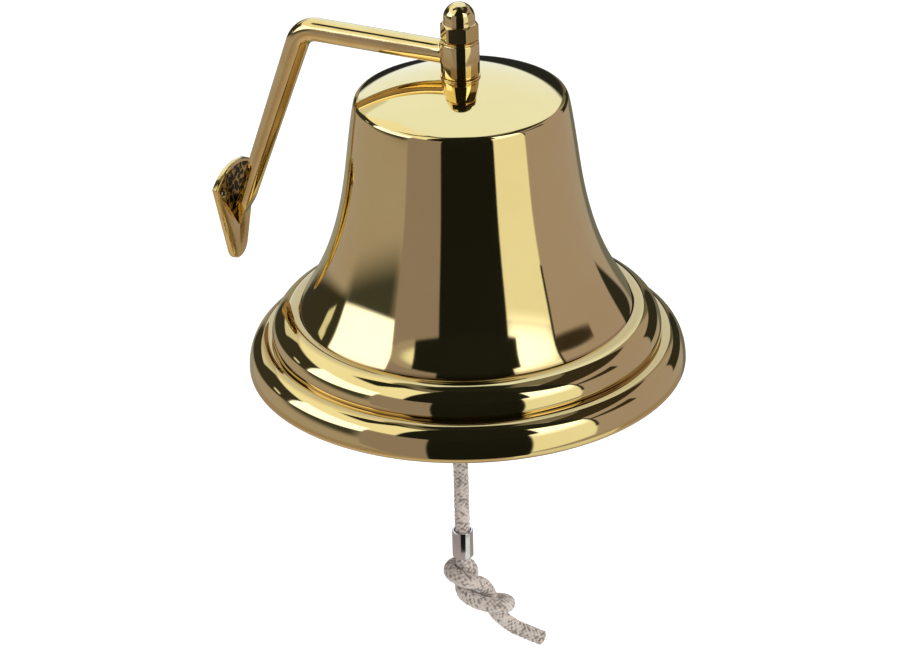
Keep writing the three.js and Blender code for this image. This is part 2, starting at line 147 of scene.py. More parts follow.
def make_object(name, verts, faces, crease=35.0, merge=1e-4):
    """A smooth-shaded object from millimetre points; edges over crease degrees stay sharp."""
    mesh = bpy.data.meshes.new(name)
    points = np.asarray(verts, float) * MM
    mesh.from_pydata([tuple(v) for v in points], [], [tuple(f) for f in faces])
    shape = bmesh.new()
    shape.from_mesh(mesh)
    bmesh.ops.remove_doubles(shape, verts=shape.verts, dist=merge * MM)
    bmesh.ops.dissolve_degenerate(shape, edges=shape.edges, dist=merge * MM)
    return object_from(shape, name, crease, mesh)


def object_from(shape, name, crease, mesh=None):
    """Turns a bmesh into a smooth-shaded object in the scene."""
    mesh = mesh or bpy.data.meshes.new(name)
    bmesh.ops.recalc_face_normals(shape, faces=shape.faces)
    shape.to_mesh(mesh)
    shape.free()
    mesh.shade_smooth()
    mesh.set_sharp_from_angle(angle=math.radians(crease))
    return in_scene(name, mesh)


def in_scene(name, data):
    made = bpy.data.objects.new(name, data)
    bpy.context.scene.collection.objects.link(made)
    return made


def ring_faces(rings, around, closed=False):
    """Quads between neighbouring rings of points; closed joins the last ring to the first."""
    faces = []
    for i in range(rings if closed else rings - 1):
        j = (i + 1) % rings
        for k in range(around):
            m = (k + 1) % around
            faces.append((i * around + k, i * around + m, j * around + m, j * around + k))
    return faces


def closed_skin(name, verts, around, crease):
    """An object from rings whose last joins the first, without quads that collapse."""
    keys = [tuple(place) for place in np.round(np.array(verts, float), 5)]
    faces = [face for face in ring_faces(len(verts) // around, around, closed=True)
             if len({keys[v] for v in face}) > 2]
    return make_object(name, verts, faces, crease)


def lathe(name, outline, centre_x=AXIS_X, sides=128, crease=35.0):
    """A closed outline of (radius, height) points turned about a vertical axis."""
    angles = np.linspace(0, 2 * math.pi, sides, endpoint=False)
    ring = np.stack([np.cos(angles), np.sin(angles)], axis=1)
    verts = []
    for radius, height in outline:
        verts.extend((centre_x + x, y, MOUTH + height) for x, y in ring * radius)
    return closed_skin(name, verts, sides, crease)


def frames_along(points):
    """Unit tangents and a pair of normals that turn as little as possible along a path."""
    points = np.asarray(points, float)
    tangents = np.gradient(points, axis=0)
    tangents /= np.linalg.norm(tangents, axis=1)[:, None]
    side = np.cross(tangents[0], (0.0, 1.0, 0.0))
    if np.linalg.norm(side) < 0.1:
        side = np.cross(tangents[0], (1.0, 0.0, 0.0))
    side /= np.linalg.norm(side)
    sides = []
    for tangent in tangents:
        side = side - tangent * side.dot(tangent)
        side /= np.linalg.norm(side)
        sides.append(side)
    sides = np.array(sides)
    return tangents, sides, np.cross(tangents, sides)


def tube_faces(rings, around):
    """Quads between rings, with a fan of triangles closing each end."""
    faces = ring_faces(rings, around)
    first, last = rings * around, rings * around + 1
    for k in range(around):
        m = (k + 1) % around
        faces.append((first, m, k))
        faces.append((last, (rings - 1) * around + k, (rings - 1) * around + m))
    return faces


# ---- node graphs

class Graph:
    """A short way to write shader nodes."""

    def __init__(self, tree):
        self.tree = tree
        tree.nodes.clear()

    def add(self, kind, inputs=None, **settings):
        made = self.tree.nodes.new("ShaderNode" + kind)
        for key, value in settings.items():
            setattr(made, key, value)
        for key, value in (inputs or {}).items():
            if isinstance(value, bpy.types.NodeSocket):
                self.tree.links.new(value, made.inputs[key])
            else:
                made.inputs[key].default_value = value
        return made

    def math(self, operation, a, b=0.0, c=0.0):
        return self.add("Math", {0: a, 1: b, 2: c}, operation=operation).outputs[0]

    def step(self, value, low, high):
        """Rises smoothly from 0 at low to 1 at high."""
        made = self.add("MapRange", {"Value": value, "From Min": low, "From Max": high},
                        interpolation_type="SMOOTHSTEP")
        return made.outputs["Result"]

    def mix(self, factor, a, b):
        made = self.add("Mix", {0: factor, 6: a, 7: b}, data_type="RGBA")
        return made.outputs[2]

    def noise(self, vector, scale, detail=3.0, roughness=0.5):
        made = self.add("TexNoise", {"Vector": vector, "Scale": scale, "Detail": detail,
                                     "Roughness": roughness})
        return made.outputs["Fac"]

    def stretch(self, vector, scale):
        """The vector with each axis scaled on its own."""
        return self.add("Mapping", {"Vector": vector, "Scale": scale}).outputs["Vector"]

    def bump(self, height, strength, distance, normal=None):
        inputs = {"Height": height, "Strength": strength, "Distance": distance}
        if normal is not None:
            inputs["Normal"] = normal
        return self.add("Bump", inputs).outputs["Normal"]


def rgb(red, green, blue):
    return (red, green, blue, 1.0)


def new_material(name):
    """A material, its node graph and the object's own coordinates."""
    material = bpy.data.materials.new(name)
    material.use_nodes = True
    graph = Graph(material.node_tree)
    return material, graph, graph.add("TexCoord").outputs["Object"]


def surface(graph, **inputs):
    """Ends a material with one Principled shader; names are written with _ for a space."""
    named = {key.replace("_", " "): value for key, value in inputs.items()}
    shader = graph.add("BsdfPrincipled", named)
    output = graph.add("OutputMaterial")
    graph.tree.links.new(shader.outputs[0], output.inputs[0])


def metal(graph, colour, roughness, normal, metallic=1.0):
    """Ends a metal's material."""
    surface(graph, Base_Color=colour, Metallic=metallic, Roughness=roughness, Normal=normal)


def turned_rings(graph, place, twist, scale):
    """Coordinates for rings about the bell's axis, and the height in metres."""
    split = graph.add("SeparateXYZ", {0: place})
    x = graph.math("SUBTRACT", split.outputs[0], AXIS_X * MM)
    y, height = split.outputs[1:]
    squares = graph.math("ADD", graph.math("MULTIPLY", x, x), graph.math("MULTIPLY", y, y))
    turns = (graph.math("MULTIPLY", graph.math("ARCTAN2", y, x), twist),
             graph.math("MULTIPLY", graph.math("SQRT", squares), scale),
             graph.math("MULTIPLY", height, scale))
    return graph.add("CombineXYZ", dict(enumerate(turns))).outputs[0], height


# ---- materials

BRASS = rgb(0.84, 0.67, 0.30)
BRASS_WARM = rgb(0.76, 0.55, 0.22)
TARNISH = rgb(0.42, 0.28, 0.11)


def polished_brass(name, roughness=0.045, ring_depth=1.2e-6, groove_heights=()):
    """Turned and buffed brass: fine rings, faint colour clouds, brown in the grooves."""
    material, graph, place = new_material(name)
    rings, height = turned_rings(graph, place, 0.5, 1400.0)
    clouds = graph.noise(place, 28.0, 4.0)
    grain = graph.noise(place, 1500.0, 2.0)
    lines = graph.noise(rings, 1.0, 3.0, 0.6)
    colour = graph.mix(graph.step(clouds, 0.35, 0.75), BRASS, BRASS_WARM)
    colour = graph.mix(0.25, BRASS, colour)
    for groove in groove_heights:
        distance = graph.math("ABSOLUTE", graph.math("SUBTRACT", height, (MOUTH + groove) * MM))
        near = graph.math("SUBTRACT", 1.0, graph.step(distance, 0.0002, 0.0014))
        colour = graph.mix(graph.math("MULTIPLY", near, 0.7), colour, TARNISH)
    rough = graph.math("MULTIPLY_ADD", graph.math("ADD", clouds, grain), 0.03, roughness - 0.03)
    normal = graph.bump(lines, 1.0, ring_depth)
    normal = graph.bump(clouds, 1.0, 1.5e-5, normal)
    metal(graph, colour, rough, normal)
    return material


def bar_brass():
    """Drawn brass bar, buffed along its length, a little wavier and duller than the bell."""
    material, graph, place = new_material("bar_brass")
    clouds = graph.noise(place, 60.0, 4.0)
    streaks = graph.noise(graph.stretch(place, (60.0, 900.0, 60.0)), 1.0, 4.0, 0.6)
    colour = graph.mix(graph.step(clouds, 0.3, 0.8), BRASS, BRASS_WARM)
    rough = graph.math("MULTIPLY_ADD", graph.math("ADD", clouds, streaks), 0.07, 0.03)
    normal = graph.bump(streaks, 1.0, 4.0e-6)
    normal = graph.bump(clouds, 1.0, 9.0e-5, normal)
    metal(graph, colour, rough, normal)
    return material


def plate_brass():
    """Hand-polished casting: soft waves and a few rub marks."""
    material, graph, place = new_material("plate_brass")
    clouds = graph.noise(place, 90.0, 4.0)
    rubs = graph.noise(graph.stretch(place, (300.0, 300.0, 2200.0)), 1.0, 3.0)
    colour = graph.mix(graph.step(clouds, 0.3, 0.8), BRASS, BRASS_WARM)
    rough = graph.math("MULTIPLY_ADD", rubs, 0.16, 0.06)
    normal = graph.bump(rubs, 1.0, 3.0e-6)
    normal = graph.bump(clouds, 1.0, 8.0e-5, normal)
    metal(graph, colour, rough, normal)
    return material


def cast_brass_and_hole_shade():
    """Unpolished pocket of the casting: coarse sand grain, near black in its pits; the same
    near-black finish on the screw holes' walls is painted shade.
    """
    material, graph, place = new_material("cast_brass_and_hole_shade")
    grain = graph.noise(place, 520.0, 5.0, 0.7)
    pits = graph.add("TexVoronoi", {"Vector": place, "Scale": 420.0}).outputs["Distance"]
    worn = graph.step(graph.math("MULTIPLY", grain, pits), 0.24, 0.36)
    colour = graph.mix(worn, rgb(0.035, 0.026, 0.014), rgb(0.62, 0.43, 0.14))
    rough = graph.math("MULTIPLY_ADD", grain, 0.35, 0.25)
    height = graph.math("ADD", grain, pits)
    metal(graph, colour, rough, graph.bump(height, 1.0, 2.0e-4), metallic=0.9)
    return material


def satin_brass(name):
    """Turned and left unpolished, dulled by handling."""
    material, graph, place = new_material(name)
    rings, _ = turned_rings(graph, place, 0.8, 700.0)
    clouds = graph.noise(place, 45.0, 5.0)
    lines = graph.noise(rings, 1.0, 4.0, 0.7)
    colour = graph.mix(graph.step(clouds, 0.4, 0.75), BRASS_WARM, TARNISH)
    colour = graph.mix(0.45, BRASS_WARM, colour)
    rough = graph.math("MULTIPLY_ADD", lines, 0.2, 0.22)
    metal(graph, colour, rough, graph.bump(lines, 1.0, 2.5e-5))
    return material


def plated_steel():
    """Zinc plate with a faint spangle."""
    material, graph, place = new_material("plated_steel")
    spangle = graph.add("TexVoronoi", {"Vector": place, "Scale": 900.0}).outputs["Color"]
    tone = graph.noise(place, 120.0, 4.0)
    colour = graph.mix(graph.step(tone, 0.3, 0.7), rgb(0.52, 0.53, 0.55), rgb(0.66, 0.66, 0.65))
    rough = graph.math("MULTIPLY_ADD", spangle, 0.12, 0.26)
    metal(graph, colour, rough, graph.bump(tone, 1.0, 1.0e-5))
    return material


def red_fibre():
    """Pressed fibre sheet."""
    material, graph, place = new_material("red_fibre")
    threads = graph.noise(graph.stretch(place, (500.0, 500.0, 2500.0)), 1.0, 5.0, 0.7)
    colour = graph.mix(threads, rgb(0.10, 0.045, 0.025), rgb(0.28, 0.13, 0.07))
    surface(graph, Base_Color=colour, Roughness=0.85, Normal=graph.bump(threads, 1.0, 5.0e-5))
    return material


def chrome():
    """Bright plate with light scuffs round the tube."""
    material, graph, place = new_material("bright_chrome")
    scuffs = graph.noise(graph.stretch(place, (150.0, 150.0, 3000.0)), 1.0, 4.0, 0.7)
    tone = graph.noise(place, 300.0, 3.0)
    rough = graph.math("MULTIPLY_ADD", scuffs, 0.12, 0.03)
    colour = graph.mix(tone, rgb(0.72, 0.71, 0.70), rgb(0.86, 0.86, 0.86))
    metal(graph, colour, rough, graph.bump(scuffs, 1.0, 3.0e-6))
    return material


def braided_cord():
    """Synthetic braid: fibres run along each strand, painted shade darkens the hollows between the
    strands, grime lies in soft clouds.
    """
    material, graph, place = new_material("braided_cord")
    depth = graph.add("Attribute", attribute_name="strand_height").outputs["Fac"]
    fibres = graph.noise(place, 2600.0, 4.0, 0.7)
    grime = graph.noise(place, 70.0, 4.0)
    # painted shade: the colour falls to near black where strand_height is low, in the hollows
    # between the strands
    colour = graph.mix(graph.step(depth, 0.3, 0.9),
                       rgb(0.10, 0.08, 0.065), rgb(0.50, 0.435, 0.385))
    colour = graph.mix(graph.math("MULTIPLY", graph.step(grime, 0.45, 0.8), 0.35), colour,
                       rgb(0.38, 0.30, 0.23))
    colour = graph.mix(graph.math("MULTIPLY", fibres, 0.3), colour, rgb(0.66, 0.60, 0.56))
    surface(graph, Base_Color=colour, Roughness=0.75, Sheen_Weight=0.35, Sheen_Roughness=0.5,
            Normal=graph.bump(fibres, 0.6, 1.2e-4))
    return material


# ---- bell and its stack

# Points of the section are (radius, height above the mouth).
SEAT_RADIUS = 10.5
INNER_SEAT = 16.0         # radius of the flat under the crown
CROWN_WALL = 4.0
RIM = (48.9, 141.6)       # edge of the domed crown
SHOULDER = (50.8, 138.2)
WAIST = (56.34, 100.0)
UPPER_GROOVE = (80.3, 34.2)
LOWER_GROOVE = (93.3, 19.5)
INSIDE = SEAT - CROWN_WALL - 0.6


def bell_outline(steps=26):
    """The outer face from the stud hole down to the lip, then the inner face back up."""
    lip_height = 5.0
    lip_in = 14.0
    outer = [(THREAD_HOLE, SEAT), (SEAT_RADIUS - 0.3, SEAT), (SEAT_RADIUS, SEAT - 0.05)]
    outer += dome(outer[-1], RIM, 30)
    outer += bezier(RIM, (49.9, 141.1), (50.5, 139.8), SHOULDER, 10)
    outer += bezier(SHOULDER, (52.9, 127.7), (54.7, 110.6), WAIST, steps)
    outer += bezier(WAIST, (62.92, 57.8), (75.74, 44.4), UPPER_GROOVE, 2 * steps)
    outer += bezier(UPPER_GROOVE, (88.5, 34.5), (94.5, 27), LOWER_GROOVE, steps)
    outer += bezier(LOWER_GROOVE, (101, 20.5), (LIP, 13), (LIP, lip_height), steps)
    outer += arc((LIP - lip_in, lip_height), (lip_in, lip_height), 0, -90, 14)[1:]
    inner = bezier(outer[-1], (90.2, 6), (88, 15), (85, 20), 10)
    inner += bezier(inner[-1], (82, 25), (79, 28.5), (75.6, 34.2), 8)
    inner += bezier(inner[-1], (70.2, 46.2), (52, 64.2), (47.2, 133), 30)
    springing = (43.5, RIM[1] - 2.1)
    inner += bezier(inner[-1], (47.0, 136), (45.6, 138.7), springing, 8)
    inner += dome((INNER_SEAT, INSIDE), springing, 16)[:-1][::-1]
    inner += [(INNER_SEAT, INSIDE), (THREAD_HOLE, INSIDE)]
    return outer, inner


def bell_shell():
    outer, inner = bell_outline()
    bell = lathe("bell_surface", outer + inner, sides=256, crease=28.0)
    grooves = (UPPER_GROOVE[1], LOWER_GROOVE[1])
    bell.data.materials.append(polished_brass("bell_polish", groove_heights=grooves))
    bell.data.materials.append(satin_brass("bell_inside"))
    heights, radii = zip(*sorted((height, radius) for radius, height in inner))
    for face in bell.data.polygons:
        centre = face.center / MM
        height = centre.z - MOUTH
        within = math.hypot(centre.x - AXIS_X, centre.y) < np.interp(height, heights, radii) + 0.4
        face.material_index = int(within and height < INSIDE + CROWN_WALL / 2)
    return bell


def flat_washer(name, node):
    low, high = box_mm(node)
    radius = (high.x - low.x) / 2
    bottom, top = low.z - MOUTH, high.z - MOUTH
    square = [(THREAD_HOLE, bottom), (radius, bottom), (radius, top), (THREAD_HOLE, top)]
    return lathe(name, rounded(square, 0.25))


def eye_boss():
    low, high = eye_low.z - MOUTH, eye_high.z - MOUTH
    radius = (eye_high.x - eye_low.x) / 2
    outline = [(THREAD_HOLE, low), (radius - 0.8, low)]
    outline += bezier(outline[-1], (radius - 0.3, low), (radius - 0.1, low + 0.4),
                      (radius, low + 1.6), 6)
    outline += [(radius, (low + high) / 2), (radius, high - 1.6)]
    outline += bezier(outline[-1], (radius - 0.1, high - 0.4), (radius - 0.3, high),
                      (radius - 0.8, high), 6)
    outline += [(THREAD_HOLE, high)]
    return lathe("eye_surface", outline)


HEX_FLATS = 16.0
HEX_HEIGHT = 8.05
CAP_RADIUS = 7.5
CAP_BORE = 13.0           # depth of the thread in the cap nut
NUT_TURN = math.radians(17.2)


def hex_reach(angle, flats):
    """Distance from the axis to a hexagon's side."""
    third = math.pi / 3
    return flats / 2 / math.cos((angle % third) - third / 2)


def hex_angles(per_side=16):
    """Angles round a hexagon, packed towards its corners."""
    third = math.pi / 3
    spread = np.sin(np.linspace(-math.pi / 2, math.pi / 2, per_side + 1)[:-1]) / 2 + 0.5
    return [side * third + third * s for side in range(6) for s in spread]


def hex_rows(flats, bottom, top):
    """Rows of a hex nut's flank, its corners turned off at 30 degrees at both ends."""
    corner = flats / math.sqrt(3) - 0.18
    rim = flats / 2 - 0.25
    slope = math.tan(math.pi / 6)
    angles = hex_angles()
    heights = list(np.linspace(bottom, bottom + 1.0, 9)) + list(np.linspace(top - 1.2, top, 13))
    rows = []
    for height in heights:
        limit = min(corner, rim + min(top - height, height - bottom) / slope)
        rows.append([(min(hex_reach(a, flats), limit), a, height) for a in angles])
    return rows


def rows_object(name, rows, turn):
    """A closed skin over rows of (radius, angle, height) about the bell's axis."""
    verts = [(AXIS_X + r * math.cos(a + turn), r * math.sin(a + turn), MOUTH + z)
             for row in rows for r, a, z in row]
    return closed_skin(name, verts, len(rows[0]), crease=30.0)


def ring_rows(outline):
    """Round rows at the hexagon's angles."""
    return [[(radius, a, height) for a in hex_angles()] for radius, height in outline]


def cap_nut():
    low, high = nut_low.z - MOUTH, nut_high.z - MOUTH
    hex_top = low + HEX_HEIGHT
    radius = CAP_RADIUS
    dome_base = high - radius
    rows = hex_rows(HEX_FLATS, low, hex_top)
    neck = [(radius + 0.35, hex_top), (radius + 0.08, hex_top + 0.12), (radius, hex_top + 0.45),
            (radius, dome_base - 0.6)]
    rows += ring_rows(neck + arc((0, dome_base), (radius, radius), 0, 90, 22))
    rows += ring_rows([(0.0, low + CAP_BORE), (THREAD_HOLE, low + CAP_BORE),
                       (THREAD_HOLE, low + 0.4), (THREAD_HOLE + 0.4, low)])
    return rows_object("cap_nut_surface", rows, NUT_TURN)


# ---- bracket

ARM_RADIUS = 5.65
KNEE_RADIUS = 4.5         # the leg thins to this where its foot starts
KNEE_HEIGHT = 14.5
BEND_RADIUS = 12.0
LEG_SLOPE = math.radians(20.5)
ELBOW_X = 43.4            # where the arm's and the leg's centre lines would cross
EYE_RADIUS = (eye_high.x - eye_low.x) / 2
BRAZE = ((0.0, 0.6), (0.15, 0.36), (0.35, 0.18), (0.7, 0.06), (1.2, 0.0))   # (gap, flare)
POCKET_DEPTH = 0.8
POCKET_APEX = -6.6
PLATE_TIP = plate_low.z
PLATE_SHOULDER = 19.3     # height where the arc over the top meets the flanks
PLATE_RIM = 2.0           # width of the raised rim
PLATE_EDGE = 0.9          # radius of its rounded edge
PLATE_FLOOR = plate_high.x - POCKET_DEPTH
SCREW_HOLE = 2.1
SCREW_SPREAD = 11.6       # each hole's distance from the middle
SCREW_HEIGHT = 14.5


def bar_stations():
    """Centre points, directions and radii of the bar from eye to foot, in the plane y = 0."""
    arm_height = bar_high.z - ARM_RADIUS
    turn = math.pi / 2 - LEG_SLOPE
    run = BEND_RADIUS * math.tan(turn / 2)
    bend_x, bend_z = ELBOW_X + run, arm_height - BEND_RADIUS
    down = (-math.sin(LEG_SLOPE), -math.cos(LEG_SLOPE))
    stations = []
    for x in np.linspace(AXIS_X - EYE_RADIUS - 4, bend_x, 16)[:-1]:
        stations.append((x, arm_height, (-1.0, 0.0), ARM_RADIUS))
    for angle in np.linspace(0, turn, 25):
        direction = (-math.cos(angle), -math.sin(angle))
        x = bend_x - BEND_RADIUS * math.sin(angle)
        z = bend_z + BEND_RADIUS * math.cos(angle)
        stations.append((x, z, direction, ARM_RADIUS))
    start_x, start_z = stations[-1][:2]
    for z in np.linspace(start_z, PLATE_TIP, 64)[1:]:
        share = (start_z - z) / (start_z - KNEE_HEIGHT)
        radius = max(KNEE_RADIUS, ARM_RADIUS + (KNEE_RADIUS - ARM_RADIUS) * share)
        x = start_x + (z - start_z) * down[0] / down[1]
        stations.append((x, z, down, radius))
    return stations


def foot_limits(height):
    """Lowest point, half width and front of the wedge that the foot is forged to, at a height."""
    point = POCKET_APEX + 1.6
    drop = bar_high.z - ARM_RADIUS - KNEE_HEIGHT
    knee_front = KNEE_RADIUS + 1 + ELBOW_X - drop * math.tan(LEG_SLOPE)
    share = max((height - point) / (KNEE_HEIGHT - point), 0)
    half = 0.6 + (ARM_RADIUS + 0.4) * share
    front = PLATE_FLOOR + 0.8 + (knee_front - PLATE_FLOOR - 0.8) * share
    return point, half, front


def bar_surface():
    """The bar as one skin: brazed end on the eye, arm, elbow, leg and foot."""
    around = 64
    angles = np.linspace(0, 2 * math.pi, around, endpoint=False)
    verts = []
    stations = bar_stations()
    arm_height = stations[0][1]
    for gap, flare in BRAZE:
        radius = ARM_RADIUS + flare
        for a in angles:
            y = radius * math.sin(a)
            wall = math.sqrt(max(EYE_RADIUS ** 2 - y ** 2, 0.0))
            verts.append((AXIS_X - wall - gap - 0.03, y, arm_height + radius * math.cos(a)))
    for x, z, along, radius in stations:
        for a in angles:
            across = radius * math.cos(a)
            point = [x + across * along[1], radius * math.sin(a), z - across * along[0]]
            if point[2] < KNEE_HEIGHT:
                lowest, half, front = foot_limits(point[2])
                point[1] = min(max(point[1], -half), half)
                point[0] = min(point[0], front)
                point[2] = max(point[2], lowest)
            point[0] = max(point[0], PLATE_FLOOR)
            verts.append(tuple(point))
    ends = np.mean(verts[:around], axis=0), np.mean(verts[-around:], axis=0)
    faces = tube_faces(len(BRAZE) + len(stations), around)
    return make_object("bar_surface", verts + list(ends), faces, crease=32.0, merge=0.01)


def shield_outline(half, shoulder, crest, tip, tip_radius):
    """The plate's outline in (y, z): an arc over the top, straight flanks, a rounded tip."""
    rise = crest - shoulder
    radius = (half ** 2 + rise ** 2) / (2 * rise)
    spread = math.degrees(math.asin(half / radius))
    points = arc((0, crest - radius), (radius, radius), 90 - spread, 90 + spread, 40)
    if tip_radius:
        centre = tip + tip_radius
        reach = math.hypot(half, shoulder - centre)
        tangent = math.degrees(math.atan2(shoulder - centre, half) - math.acos(tip_radius / reach))
        points += arc((0, centre), (tip_radius, tip_radius), 180 - tangent, 360 + tangent, 40)
    else:
        points.append((0.0, tip))
    return points


def cast_rays(outline, centre, angles):
    """Where rays from a centre leave a convex outline."""
    hits = []
    corners = np.array(outline)
    after = np.roll(corners, -1, axis=0)
    edge = after - corners
    for a in angles:
        ray = np.array((math.cos(a), math.sin(a)))
        offset = corners - centre
        cross = ray[0] * edge[:, 1] - ray[1] * edge[:, 0]
        safe = np.where(np.abs(cross) < 1e-9, 1e-9, cross)
        along_ray = (offset[:, 0] * edge[:, 1] - offset[:, 1] * edge[:, 0]) / safe
        along_edge = (offset[:, 0] * ray[1] - offset[:, 1] * ray[0]) / safe
        good = (along_ray > 0) & (along_edge >= -1e-6) & (along_edge <= 1 + 1e-6)
        hits.append(np.array(centre) + ray * along_ray[good].min())
    return np.array(hits)


def inset(loop, amount):
    """A closed loop moved inwards along its own normals."""
    ahead = np.roll(loop, -1, axis=0) - np.roll(loop, 1, axis=0)
    normal = np.stack([ahead[:, 1], -ahead[:, 0]], axis=1)
    normal /= np.linalg.norm(normal, axis=1)[:, None]
    return loop - normal * amount


def plate_levels(angles):
    """Loops of (y, z) with their x, from the back edge over the rim and down into the pocket."""
    front, half, crest = plate_high
    centre = np.array((0.0, 9.0))
    shape = shield_outline(half, PLATE_SHOULDER, crest, PLATE_TIP, 8.0)
    outer = cast_rays(shape, centre, angles)
    shape = shield_outline(half - PLATE_RIM, PLATE_SHOULDER - 0.6, crest - 0.9 * PLATE_RIM,
                           POCKET_APEX, 0)
    pocket = cast_rays(rounded(shape, 0.8), centre, angles)
    levels = [(inset(outer, 0.3), 0.0), (outer, 0.3), (outer, front - PLATE_EDGE)]
    for a in np.radians((22.5, 45, 67.5, 90)):
        levels.append((inset(outer, PLATE_EDGE * (1 - math.cos(a))),
                       front - PLATE_EDGE + PLATE_EDGE * math.sin(a)))
    return levels + [
        (inset(pocket, -0.4), front), (inset(pocket, -0.12), front - 0.1), (pocket, front - 0.35),
        (pocket, PLATE_FLOOR + 0.3), (inset(pocket, 0.1), PLATE_FLOOR + 0.08),
        (inset(pocket, 0.35), PLATE_FLOOR)]


def bridged_loops(shape, levels):
    """Adds closed loops to a bmesh with a skin between each and the next."""
    loops = [[shape.verts.new(Vector((x, y, z)) * MM) for y, z in loop] for loop, x in levels]
    verts = [vert for loop in loops for vert in loop]
    for face in ring_faces(len(loops), len(loops[0])):
        shape.faces.new([verts[v] for v in face])
    return loops


def plate_surface():
    shape = bmesh.new()
    loops = bridged_loops(shape, plate_levels(np.linspace(0, 2 * math.pi, 240, endpoint=False)))
    fronts, backs = [loops[-1]], [loops[0]]
    for side in (-1, 1):
        rings = []
        for radius, x in ((SCREW_HOLE + 0.2, PLATE_FLOOR), (SCREW_HOLE, PLATE_FLOOR - 0.2),
                          (SCREW_HOLE, 0.0)):
            ring = arc((side * SCREW_SPREAD, SCREW_HEIGHT), (radius, radius), 0, 360, 48)[:-1]
            rings.append((ring, x))
        drilled = bridged_loops(shape, rings)
        fronts.append(drilled[0])
        backs.append(drilled[-1])
    for group in (fronts, backs):
        edges = [shape.edges.get((vert, loop[(k + 1) % len(loop)]))
                 for loop in group for k, vert in enumerate(loop)]
        bmesh.ops.triangle_fill(shape, edges=edges, use_beauty=True)
    plate = object_from(shape, "plate_surface", crease=30.0)
    plate.data.materials.append(plate_brass())
    plate.data.materials.append(cast_brass_and_hole_shade())
    for face in plate.data.polygons:
        x, y, z = face.center / MM
        sunk = PLATE_FLOOR - 0.05 < x < PLATE_FLOOR + 0.35
        within = abs(y) < plate_high.y - PLATE_RIM + 0.2 and z > POCKET_APEX - 0.5
        # painted shade: the screw holes' walls and chamfers take the near-black cast finish so
        # that they read dark
        in_hole = math.hypot(abs(y) - SCREW_SPREAD, z - SCREW_HEIGHT) < SCREW_HOLE + 0.25
        face.material_index = int(in_hole or (sunk and within))
    return plate


# ---- clapper

CLAPPER_FLAT = 5.6        # radius of the flat at each end of the ball
LOCK_FLATS = 13.0
BALL_BORE = 3.95
BORE_DEPTH = 6.5          # where each tapped hole ends, measured from the ball's middle


def clapper_ball():
    centre = (ball_low.z + ball_high.z) / 2 - MOUTH
    radius = (ball_high.x - ball_low.x) / 2
    edge = math.degrees(math.acos(CLAPPER_FLAT / radius))
    flat = radius * math.sin(math.radians(edge))
    low, high = centre - BORE_DEPTH, centre + BORE_DEPTH
    outline = [(0.0, low), (BALL_BORE, low), (BALL_BORE, centre - flat)]
    outline += arc((0, centre), (radius, radius), -edge, edge, 40)
    outline += [(BALL_BORE, centre + flat), (BALL_BORE, high), (0.0, high)]
    return lathe("ball_surface", outline, sides=96)


def ball_lock_nut():
    low, high = (corner.z - MOUTH for corner in box_mm("ball_lock_nut"))
    rows = hex_rows(LOCK_FLATS, low, high)
    rows += ring_rows([(BALL_BORE + 0.4, high), (BALL_BORE, high - 0.4),
                       (BALL_BORE, low + 0.4), (BALL_BORE + 0.4, low)])
    return rows_object("lock_nut_surface", rows, 0.0)


# ---- lanyard

CORD_RADIUS = 3.8
STRANDS = 8               # strands laid each way round the cord
BRAID_LAY = 9.0           # length in which a strand goes once round
BEAD_SPACING = 1.5        # between the points that stand for a cord while it is eased
BEND = np.array((CORD_X, 0.0, ferrule_low.z - CORD_RADIUS - 0.3))   # hinge below the ferrule


def smooth_path(points, spacing):
    """Evenly spaced points on a Catmull-Rom curve through the given ones."""
    knots = np.array(points, float)
    knots = np.vstack([2 * knots[0] - knots[1], knots, 2 * knots[-1] - knots[-2]])
    dense = []
    for i in range(1, len(knots) - 2):
        p0, p1, p2, p3 = knots[i - 1:i + 3]
        for t in np.linspace(0, 1, 24, endpoint=False):
            dense.append(0.5 * (2 * p1 + (p2 - p0) * t + (2 * p0 - 5 * p1 + 4 * p2 - p3) * t ** 2
                                + (3 * p1 - p0 - 3 * p2 + p3) * t ** 3))
    dense.append(knots[-2])
    dense = np.array(dense)
    run = np.concatenate([[0], np.cumsum(np.linalg.norm(np.diff(dense, axis=0), axis=1))])
    even = np.linspace(0, run[-1], int(run[-1] / spacing) + 1)
    return np.stack([np.interp(even, run, dense[:, axis]) for axis in range(3)], axis=1), even


def braid_height(angle, distance):
    """Height, 0 to 1, of a diamond braid's surface at an angle and a distance along the cord."""
    a = STRANDS * angle / (2 * np.pi) + distance / BRAID_LAY * STRANDS / 2
    b = STRANDS * angle / (2 * np.pi) - distance / BRAID_LAY * STRANDS / 2
    ridge_a = np.sqrt(np.clip(1 - (2 * (a % 1) - 1) ** 2 * 0.9, 0, 1))
    ridge_b = np.sqrt(np.clip(1 - (2 * (b % 1) - 1) ** 2 * 0.9, 0, 1))
    weave_a = np.cos(np.pi * (b - 0.5 + np.floor(a)))
    weave_b = -np.cos(np.pi * (a - 0.5 + np.floor(b)))
    height_a, height_b = ridge_a * 0.55 + 0.45 * weave_a, ridge_b * 0.55 + 0.45 * weave_b
    return np.clip(np.maximum(height_a, height_b), 0, 1)


def gaussian_rows(field, rounds=3):
    """White noise softened between neighbours, with its own spread put back to one."""
    for _ in range(rounds):
        field = (field + np.roll(field, 1, 1) + np.roll(field, -1, 1) + np.roll(field, 1, 0)
                 + np.roll(field, -1, 0)) / 5
    return field / field.std()


